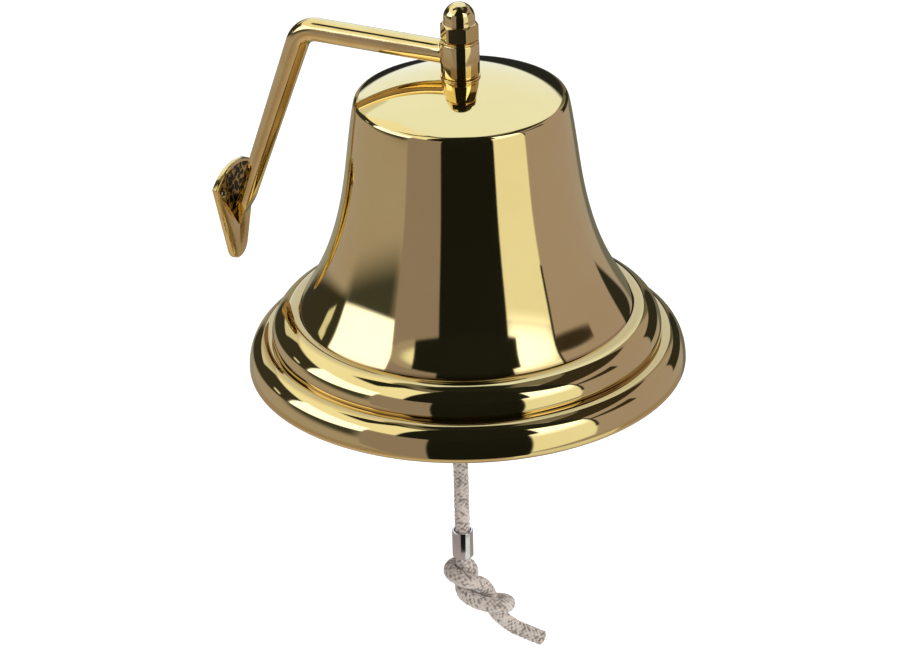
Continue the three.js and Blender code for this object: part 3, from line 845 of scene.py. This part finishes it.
def braided(name, points, radius=CORD_RADIUS, relief=0.55, around=56, spacing=0.32):
    """A braided cord along a path; the cut end is slightly domed."""
    path, distance = smooth_path(points, spacing)
    tangents, side, other = frames_along(path)
    angles = np.linspace(0, 2 * math.pi, around, endpoint=False)
    random = np.random.default_rng(7)
    heights = braid_height(angles[None, :], distance[:, None])
    uneven = gaussian_rows(random.standard_normal((len(path), around)))
    heights = np.clip(heights + 0.22 * uneven, 0, 1)
    reach = radius - relief * (1 - heights)
    ends = np.minimum(distance, distance[-1] - distance)
    reach *= np.sqrt(np.clip(ends / 0.6, 0.55, 1))[:, None]
    around_x, around_y = np.cos(angles)[None, :, None], np.sin(angles)[None, :, None]
    rings = path[:, None, :] + reach[..., None] * (around_x * side[:, None, :]
                                                   + around_y * other[:, None, :])
    ends = [path[0] - tangents[0] * 0.4, path[-1] + tangents[-1] * 0.4]
    verts = list(rings.reshape(-1, 3)) + ends
    cord = make_object(name, verts, tube_faces(len(path), around), crease=80.0, merge=1e-5)
    attribute = cord.data.attributes.new("strand_height", "FLOAT", "POINT")
    values = list(heights.reshape(-1)) + [0.5, 0.5]
    if len(values) == len(cord.data.vertices):
        attribute.data.foreach_set("value", values)
    return cord


# The knotted end as a hand lays it: sideways, away and up from the bend below the ferrule.
KNOT_LAY = (
    # down from the ferrule and along the near side
    (0, 0, 5), (0, 0, 2), (0.2, 0.3, -1), (0.6, 1, -5), (-1.5, 0, -9), (-2.5, -1.5, -12),
    (2.3, -4, -14), (8.4, -6, -17.5), (15, -6.5, -21.5),
    # round the far bight and back along the far side
    (20, -4, -24), (21.5, 0.5, -25), (19.5, 5, -26), (15, 7, -26.5), (10, 5, -26), (4, 3, -21.5),
    (1, 4.5, -16), (3.5, 7, -11),
    # once round the standing part
    (4.5, 8, -8), (0.5, 8, -6), (-5, 3.5, -4.5), (-5.5, -2, -5), (-1, -6.5, -6.5), (4, -6.4, -9.2),
    # through the bight and out
    (8, -3.7, -12.8), (12, -0.5, -17.8), (15, 0, -23), (16.3, 0, -28.5), (19, 0, -33.5),
    (25, 0, -38), (33, 0, -42.3), (39.3, 0, -45.3),
)


def settle(beads, spacing, radius, rounds=700, held=(5, 12)):
    """Eases a laid cord until it no longer runs through itself, kinks or stretches."""
    start = beads.copy()
    count = len(beads)
    fixed = np.r_[0:held[0], count - held[1]:count]
    first, second = np.triu_indices(count, int(math.pi * radius / spacing))
    contact = 2 * radius * 0.95
    sagitta = spacing ** 2 / (2.1 * radius)
    for _ in range(rounds):
        for _ in range(3):
            step = np.diff(beads, axis=0)
            length = np.linalg.norm(step, axis=1)[:, None]
            fix = step * (0.45 * (length - spacing) / length)
            beads[:-1] += fix
            beads[1:] -= fix
        bow = (beads[:-2] + beads[2:]) / 2 - beads[1:-1]
        size = np.linalg.norm(bow, axis=1)[:, None]
        shift = bow * (np.clip(1 - sagitta / np.maximum(size, 1e-9), 0, 1) * 0.6 + 0.06)
        beads[1:-1] += shift
        beads[:-2] -= shift / 2
        beads[2:] -= shift / 2
        apart = beads[second] - beads[first]
        length = np.linalg.norm(apart, axis=1)
        near = length < contact
        push = apart[near] * (0.3 * (contact / np.maximum(length[near], 1e-6) - 1))[:, None]
        np.add.at(beads, first[near], -push)
        np.add.at(beads, second[near], push)
        beads[fixed] = start[fixed]
    return beads


def knotted_end():
    """The figure-eight knot and the free end below the ferrule, as one run of cord."""
    laid, run = smooth_path(KNOT_LAY, BEAD_SPACING)
    beads = settle(laid, run[1], CORD_RADIUS)
    ahead, right = ahead_and_right()
    basis = np.array([right, ahead, (0, 0, 1)])
    return braided("knotted_cord", BEND + beads @ basis)


def hanging_cord():
    """The cord from the stopper knot through the tail eye and down into the ferrule."""
    return braided("hanging_cord", [(AXIS_X + 5, 0, EYE_HOLE), (CORD_X + 2.5, 0, EYE_HOLE - 0.3),
                                    (CORD_X, 0, EYE_HOLE - 5), (CORD_X, 0, EYE_HOLE - 30),
                                    (CORD_X, 0, ferrule_low.z - 0.5)])


def stopper_knot():
    """The overhand knot that keeps the cord in the tail eye, pulled tight and small."""
    tight, reach = 2.9, 4.7      # the cord's radius here, and how far its middle strays
    t = np.linspace(0.35, 4 * math.pi - 0.35, 60)
    ring = 3.2 + 1.7 * np.cos(1.5 * t)
    laid = np.stack([3.1 * np.sin(1.5 * t), ring * np.cos(t), ring * np.sin(t)], axis=1)
    laid, run = smooth_path(laid, BEAD_SPACING)
    beads = settle(laid, run[1], 2.5, rounds=60, held=(1, 1))
    beads -= (beads.min(axis=0) + beads.max(axis=0)) / 2
    beads *= (1, reach / np.abs(beads[:, 1]).max(), reach / np.abs(beads[:, 2]).max())
    return braided("stopper_knot", beads + (AXIS_X + 8.5, 0, EYE_HOLE), radius=tight)


def ferrule():
    low, high = ferrule_low.z - MOUTH, ferrule_high.z - MOUTH
    radius = (ferrule_high.x - ferrule_low.x) / 2
    bore = CORD_RADIUS + 0.3
    outline = [(bore, low + 0.5), (bore + 0.3, low)]
    outline += arc((radius - 0.45, low + 0.45), (0.45, 0.45), -90, 0, 6)
    outline += arc((radius - 0.45, high - 0.45), (0.45, 0.45), 0, 90, 6)
    outline += [(bore + 0.3, high), (bore, high - 0.5)]
    return lathe("ferrule_surface", outline, centre_x=CORD_X, sides=96)


# ---- studio

def ahead_and_right():
    """The camera's level directions."""
    return (Vector((-math.sin(VIEW_TURN), math.cos(VIEW_TURN), 0)),
            Vector((math.cos(VIEW_TURN), math.sin(VIEW_TURN), 0)))


TAN = (1.0, 0.86, 1.0)
WARM = (1.0, 0.80, 0.62)
WHITE = (1.0, 1.03, 0.97)
PALE = (1.05, 1.20, 1.42)
SHADE = (0.9, 1.0, 0.9)
# What the polished metal mirrors, in degrees, a later panel in front of an earlier one. Name,
# azimuth from and to (0 towards the camera, + to its right, over 181 counted right round),
# elevation from and to, softness, rise of the lower edge per degree of azimuth, tint, strength.
STUDIO_PANELS = (
    ("backdrop, left", 180, 214, 13, 77, 1, 1.15, PALE, 0.94),
    ("backdrop, right", 134, 182, 22.5, 77, 1, -1.1, PALE, 0.94),
    ("high screen, left", -152, -40, 29, 68, 1, 0, WHITE, 1.05),
    ("low shade, left", -106, -57, -2, 24, 7, 0, SHADE, 0.06),
    ("slab, left", -104, -57, 11.5, 34, 1.0, 0.26, (1.0, 1.07, 1.4), 1.8),
    ("slot, high left", -110, -76, 54, 73, 2, 0, SHADE, 0.02),
    ("dark wall, rear left", -160, -104, -6.5, 30, 2, 0.35, (1, 1, 0.8), 0.04),
    ("side screen, rear left", -161, -139, 15, 32, 1, 0, WHITE, 0.75),
    ("small window, rear left", -118, -112, 4.5, 8.5, 0.7, 0, WHITE, 0.8),
    ("card, left", -57, -22, -23.5, 26.2, 0.8, -0.54, TAN, 0.31),
    ("strip, right", 31, 66, -20, 20, 1.0, 0.13, WHITE, 0.96),
    ("strip top, right", 31, 66, 21, 66, 7, 0, (1.0, 1.05, 1.2), 2.1),
    ("dark over the strip", 30, 67, 43, 90, 1.0, -0.57, SHADE, 0.02),
    ("card, right", 67, 129, -20, 38, 1.0, 0, TAN, 0.42),
    ("dark over the card", 66, 132, 37.5, 62, 1, 0, WARM, 0.04),
    ("dark notch, right", 66, 96, 19, 27, 0.8, -0.3, WARM, 0.04),
    ("gap, right", 65.3, 67.3, 0, 40, 0.5, 0, SHADE, 0.03),
    ("dark wall, rear right", 128, 160, -8, 16, 1.0, 0, (1, 1, 0.8), 0.03),
    ("pale floor, right", 24, 84, -62, -24, 1.5, 0, WHITE, 0.78),
    ("camera side", -22, 31, -33, 90, 0.8, 0, SHADE, 0.012),
    ("camera side, high", -40, 37, 26.5, 90, 1, 0, SHADE, 0.014),
    ("zenith", -180, 181, 77, 95, 2, 0, SHADE, 0.02),
)


def band(graph, value, low, high, soft):
    """1 between low and high, falling to 0 over soft on both sides."""
    rise = graph.step(value, low - soft, low + soft)
    fall = graph.step(value, high + soft, high - soft)
    return graph.math("MULTIPLY", rise, fall)


def studio_world():
    """Camera rays see white, polished metal sees the studio, all the rest a soft dome."""
    ahead, right = ahead_and_right()
    world = bpy.data.worlds.new("studio")
    bpy.context.scene.world = world
    world.use_nodes = True
    graph = Graph(world.node_tree)
    direction = graph.add("TexCoord").outputs["Generated"]

    def along(axis):
        made = graph.add("VectorMath", {0: direction, 1: tuple(axis)}, operation="DOT_PRODUCT")
        return made.outputs["Value"]

    degrees = 180 / math.pi
    azimuth = graph.math("MULTIPLY", graph.math("ARCTAN2", along(right), along(-ahead)), degrees)
    elevation = graph.math("MULTIPLY", graph.math("ARCSINE", along(Vector((0, 0, 1)))), degrees)
    from_front = graph.math("WRAP", azimuth, 360.0, 0.0)
    floor = graph.mix(graph.step(elevation, -60, -22),
                      rgb(0.62, 0.52, 0.48), rgb(0.36, 0.29, 0.26))
    colour = graph.mix(graph.step(elevation, -24, -18), floor, rgb(0.42, 0.38, 0.40))
    colour = graph.mix(graph.step(elevation, 28, 70), colour, rgb(0.20, 0.19, 0.18))
    rear = band(graph, from_front, 150, 212, 3)
    side = graph.step(from_front, 170, 190)
    colour = graph.mix(rear, colour, graph.mix(side, rgb(0.17, 0.17, 0.14), rgb(0.33, 0.32, 0.27)))
    offset = graph.math("ABSOLUTE", graph.math("SUBTRACT", from_front, 180.0))
    over = graph.math("MULTIPLY_ADD", offset, -1.9, elevation)
    behind = graph.math("MULTIPLY", rear, graph.step(over, -21.5, -18.5))
    colour = graph.mix(behind, colour, rgb(0.02, 0.022, 0.024))
    for _, az_low, az_high, el_low, el_high, soft, tilt, tint, strength in STUDIO_PANELS:
        turn = from_front if az_high > 181 else azimuth
        aside = graph.math("SUBTRACT", turn, (az_low + az_high) / 2)
        lifted = graph.math("MULTIPLY_ADD", aside, -tilt, elevation)
        below = graph.step(lifted, el_low - soft, el_low + soft)
        above = graph.step(elevation, el_high + soft, el_high - soft)
        mask = graph.math("MULTIPLY", graph.math("MULTIPLY", below, above),
                          band(graph, turn, az_low, az_high, soft) if az_low > -180 else 1.0)
        colour = graph.mix(mask, colour, rgb(*(strength * c for c in tint)))

    soft_dome = graph.mix(graph.step(along(right), -1.0, 1.0),
                          rgb(0.50, 0.49, 0.48), rgb(1.15, 1.13, 1.10))
    rays = graph.add("LightPath")
    shown = graph.mix(rays.outputs["Is Glossy Ray"], soft_dome, colour)
    shown = graph.mix(rays.outputs["Is Camera Ray"], shown, rgb(1.0, 1.0, 1.0))
    background = graph.add("Background", {0: shown, 1: 1.0})
    output = graph.add("OutputWorld")
    graph.tree.links.new(background.outputs[0], output.inputs[0])


def studio_floor():
    """A pale floor under the knot; it lights the object but isn't mirrored in the brass."""
    half = 40.0
    drop = 0.06
    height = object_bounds()[0].z - drop
    mesh = bpy.data.meshes.new("floor")
    corners = [(-half, -half, height), (half, -half, height),
               (half, half, height), (-half, half, height)]
    mesh.from_pydata(corners, [], [(0, 1, 2, 3)])
    floor = in_scene("floor", mesh)
    material, graph, place = new_material("pale_floor")
    grain = graph.noise(place, 40.0, 2.0)
    colour = graph.mix(grain, rgb(0.90, 0.90, 0.90), rgb(0.93, 0.93, 0.93))
    surface(graph, Base_Color=colour, Roughness=0.9,
            Emission_Color=rgb(1, 1, 1), Emission_Strength=0.35)
    mesh.materials.append(material)
    floor.visible_glossy = False


def soft_light():
    """One large soft light from the right and above, for the cord and the rough casting."""
    ahead, right = ahead_and_right()
    data = bpy.data.lights.new("softbox", "AREA")
    data.shape = "SQUARE"
    data.size = 0.7
    data.energy = 9.0
    light = in_scene("softbox", data)
    target = Vector((AXIS_X, 0, MOUTH)) * MM
    light.location = target + right * 1.1 - ahead * 0.7 + Vector((0, 0, 0.75))
    light.rotation_mode = "QUATERNION"
    light.rotation_quaternion = (target - light.location).to_track_quat("-Z", "Y")
    light.visible_glossy = False
    light.visible_camera = False


def camera():
    """A long lens about 1.9 m from the mouth, looking slightly down."""
    ahead, right = ahead_and_right()
    up = Vector((0, 0, 1))
    mouth = Vector((AXIS_X, 0, MOUTH)) * MM
    radius = LIP * MM
    distance, offset = 18.0, 0.0769          # in bell radii
    pitch, roll = 0.4628, -0.0275
    data = bpy.data.cameras.new("camera")
    data.sensor_width = 36.0
    data.lens = 156.7
    data.clip_start, data.clip_end = 0.05, 120.0
    view = in_scene("camera", data)
    place = mouth + radius * (-offset * right - distance * math.cos(VIEW_DIP) * ahead
                              + distance * math.sin(VIEW_DIP) * up)
    forward = ahead * math.cos(pitch) - up * math.sin(pitch)
    above = ahead * math.sin(pitch) + up * math.cos(pitch)
    view_right = right * math.cos(roll) + above * math.sin(roll)
    view_up = above * math.cos(roll) - right * math.sin(roll)
    basis = Matrix((view_right, view_up, -forward)).transposed().to_4x4()
    view.matrix_world = Matrix.Translation(place) @ basis
    bpy.context.scene.camera = view


# ---- assembly

def place(piece, body, slot, *nodes, material=None):
    """Puts a piece on its body in place of its CAD nodes."""
    if material is not None:
        piece.data.materials.clear()
        piece.data.materials.append(material)
    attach(piece, body)
    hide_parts(*nodes)


def smooth_by_angle():
    """A modifier's node group that shades faces smoothly across shallow edges."""
    group = bpy.data.node_groups.new("smooth_by_angle", "GeometryNodeTree")
    group.interface.new_socket("Geometry", in_out="INPUT", socket_type="NodeSocketGeometry")
    group.interface.new_socket("Geometry", in_out="OUTPUT", socket_type="NodeSocketGeometry")
    nodes, links = group.nodes, group.links
    start, end = nodes.new("NodeGroupInput"), nodes.new("NodeGroupOutput")
    faces, edges = nodes.new("GeometryNodeSetShadeSmooth"), nodes.new("GeometryNodeSetShadeSmooth")
    edges.domain = "EDGE"
    edges.inputs["Shade Smooth"].default_value = False
    angle, sharp = nodes.new("GeometryNodeInputMeshEdgeAngle"), nodes.new("FunctionNodeCompare")
    sharp.inputs[1].default_value = math.radians(32)
    links.new(angle.outputs[0], sharp.inputs[0])
    links.new(sharp.outputs[0], edges.inputs["Selection"])
    links.new(start.outputs[0], faces.inputs[0])
    links.new(faces.outputs[0], edges.inputs[0])
    links.new(edges.outputs[0], end.inputs[0])
    return group


def dress_hidden_parts():
    """The clamp in the crown, the pin and the rod with its eyes keep their CAD shapes."""
    steel, fibre = plated_steel(), red_fibre()
    brass = satin_brass("clapper_brass")
    group = smooth_by_angle()
    finishes = {
        "suspension_stud": steel, "crown_fibre_washer": fibre, "crown_inner_washer": steel,
        "stud_lock_nut": steel, "clapper_pin": steel, "pin_split_pin": steel,
        "clapper_rod": brass, "clapper_tail_eye": brass,
    }
    for name, material in finishes.items():
        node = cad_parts[name]
        node.data.materials.clear()
        node.data.materials.append(material)
        node.modifiers.new("smooth", "NODES").node_group = group
    return brass


def build():
    nut_polish = polished_brass("nut_polish", roughness=0.06, ring_depth=2.5e-6)
    place(bell_shell(), "bell", "bell_brass", "bell_shell")
    for name, node in (("seat_washer_surface", "seat_washer"),
                       ("nut_washer_surface", "cap_nut_washer")):
        place(flat_washer(name, node), "bell", "nut_brass", node, material=nut_polish)
    place(cap_nut(), "bell", "nut_brass", "cap_nut", material=nut_polish)
    place(eye_boss(), "bracket", "bracket_brass", "bracket_eye", material=nut_polish)
    place(bar_surface(), "bracket", "bracket_brass", "bracket_bar", material=bar_brass())
    place(plate_surface(), "bracket", "plate_brass", "wall_plate")
    clapper_brass = dress_hidden_parts()
    place(clapper_ball(), "clapper", "clapper_brass", "clapper_ball", material=clapper_brass)
    place(ball_lock_nut(), "clapper", "clapper_brass", "ball_lock_nut", material=clapper_brass)
    place(ferrule(), "lanyard", "ferrule_chrome", "cord_ferrule", material=chrome())
    rope = braided_cord()
    place(hanging_cord(), "lanyard", "cord_braid", "cord", material=rope)
    place(stopper_knot(), "lanyard", "cord_braid", material=rope)
    tail = knotted_end()
    tail.data.materials.append(rope)
    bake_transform(tail)
    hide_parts("cord_end_knot")


build()
camera()
bpy.context.scene.view_settings.view_transform = "Standard"
studio_world()
studio_floor()
soft_light()
